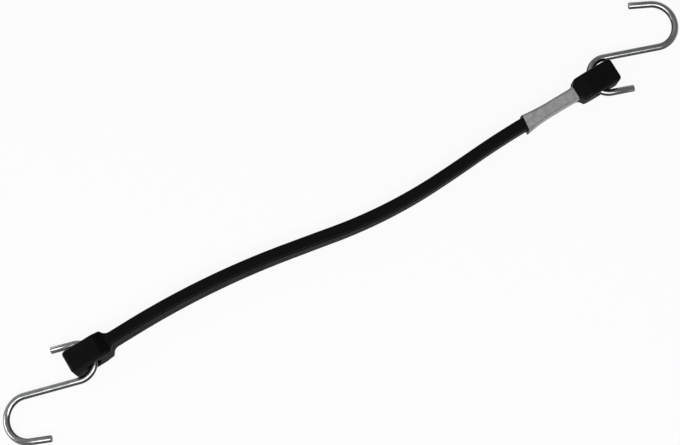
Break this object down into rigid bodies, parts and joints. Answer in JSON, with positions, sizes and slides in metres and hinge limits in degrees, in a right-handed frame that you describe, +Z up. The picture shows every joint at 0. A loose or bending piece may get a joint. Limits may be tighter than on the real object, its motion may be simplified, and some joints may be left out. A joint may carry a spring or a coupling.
{
  "type": "rubber tie-down strap",
  "caption": "Moulded rubber strap with thickened ends and a bent-wire steel S-hook threaded through each end, lying on its edge in a shallow S, with a plain label wrapped round it.",
  "frame": {"origin": "middle of the object's box, on the surface it lies on", "axes": "+X from the near end to the far end, which is the end with the label; +Z up, across the band's wide side"},
  "size_m": [0.6804, 0.097, 0.0274],
  "materials": {
    "rubber": "moulded, satin black",
    "zinc_steel": "bright zinc-plated wire",
    "label": "matt grey paper film"
  },
  "bodies": {
    "rubber": {"strap": "rubber", "label_wrap": "label"},
    "near_wire": {"near_hook": "zinc_steel"},
    "far_wire": {"far_hook": "zinc_steel"}
  },
  "joints": [
    {"name": "near_hook_swing", "type": "hinge", "parent": "rubber", "child": "near_wire", "pos_m": [-0.24679, 0.00178, 0.0137], "axis": [-0.0554, 0.9861, -0.1564], "range_deg": [-145, 155]},
    {"name": "far_hook_swing", "type": "hinge", "parent": "rubber", "child": "far_wire", "pos_m": [0.2461, -0.00011, 0.0125], "axis": [0.0422, -0.9991, 0], "range_deg": [-145, 155]}
  ]
}
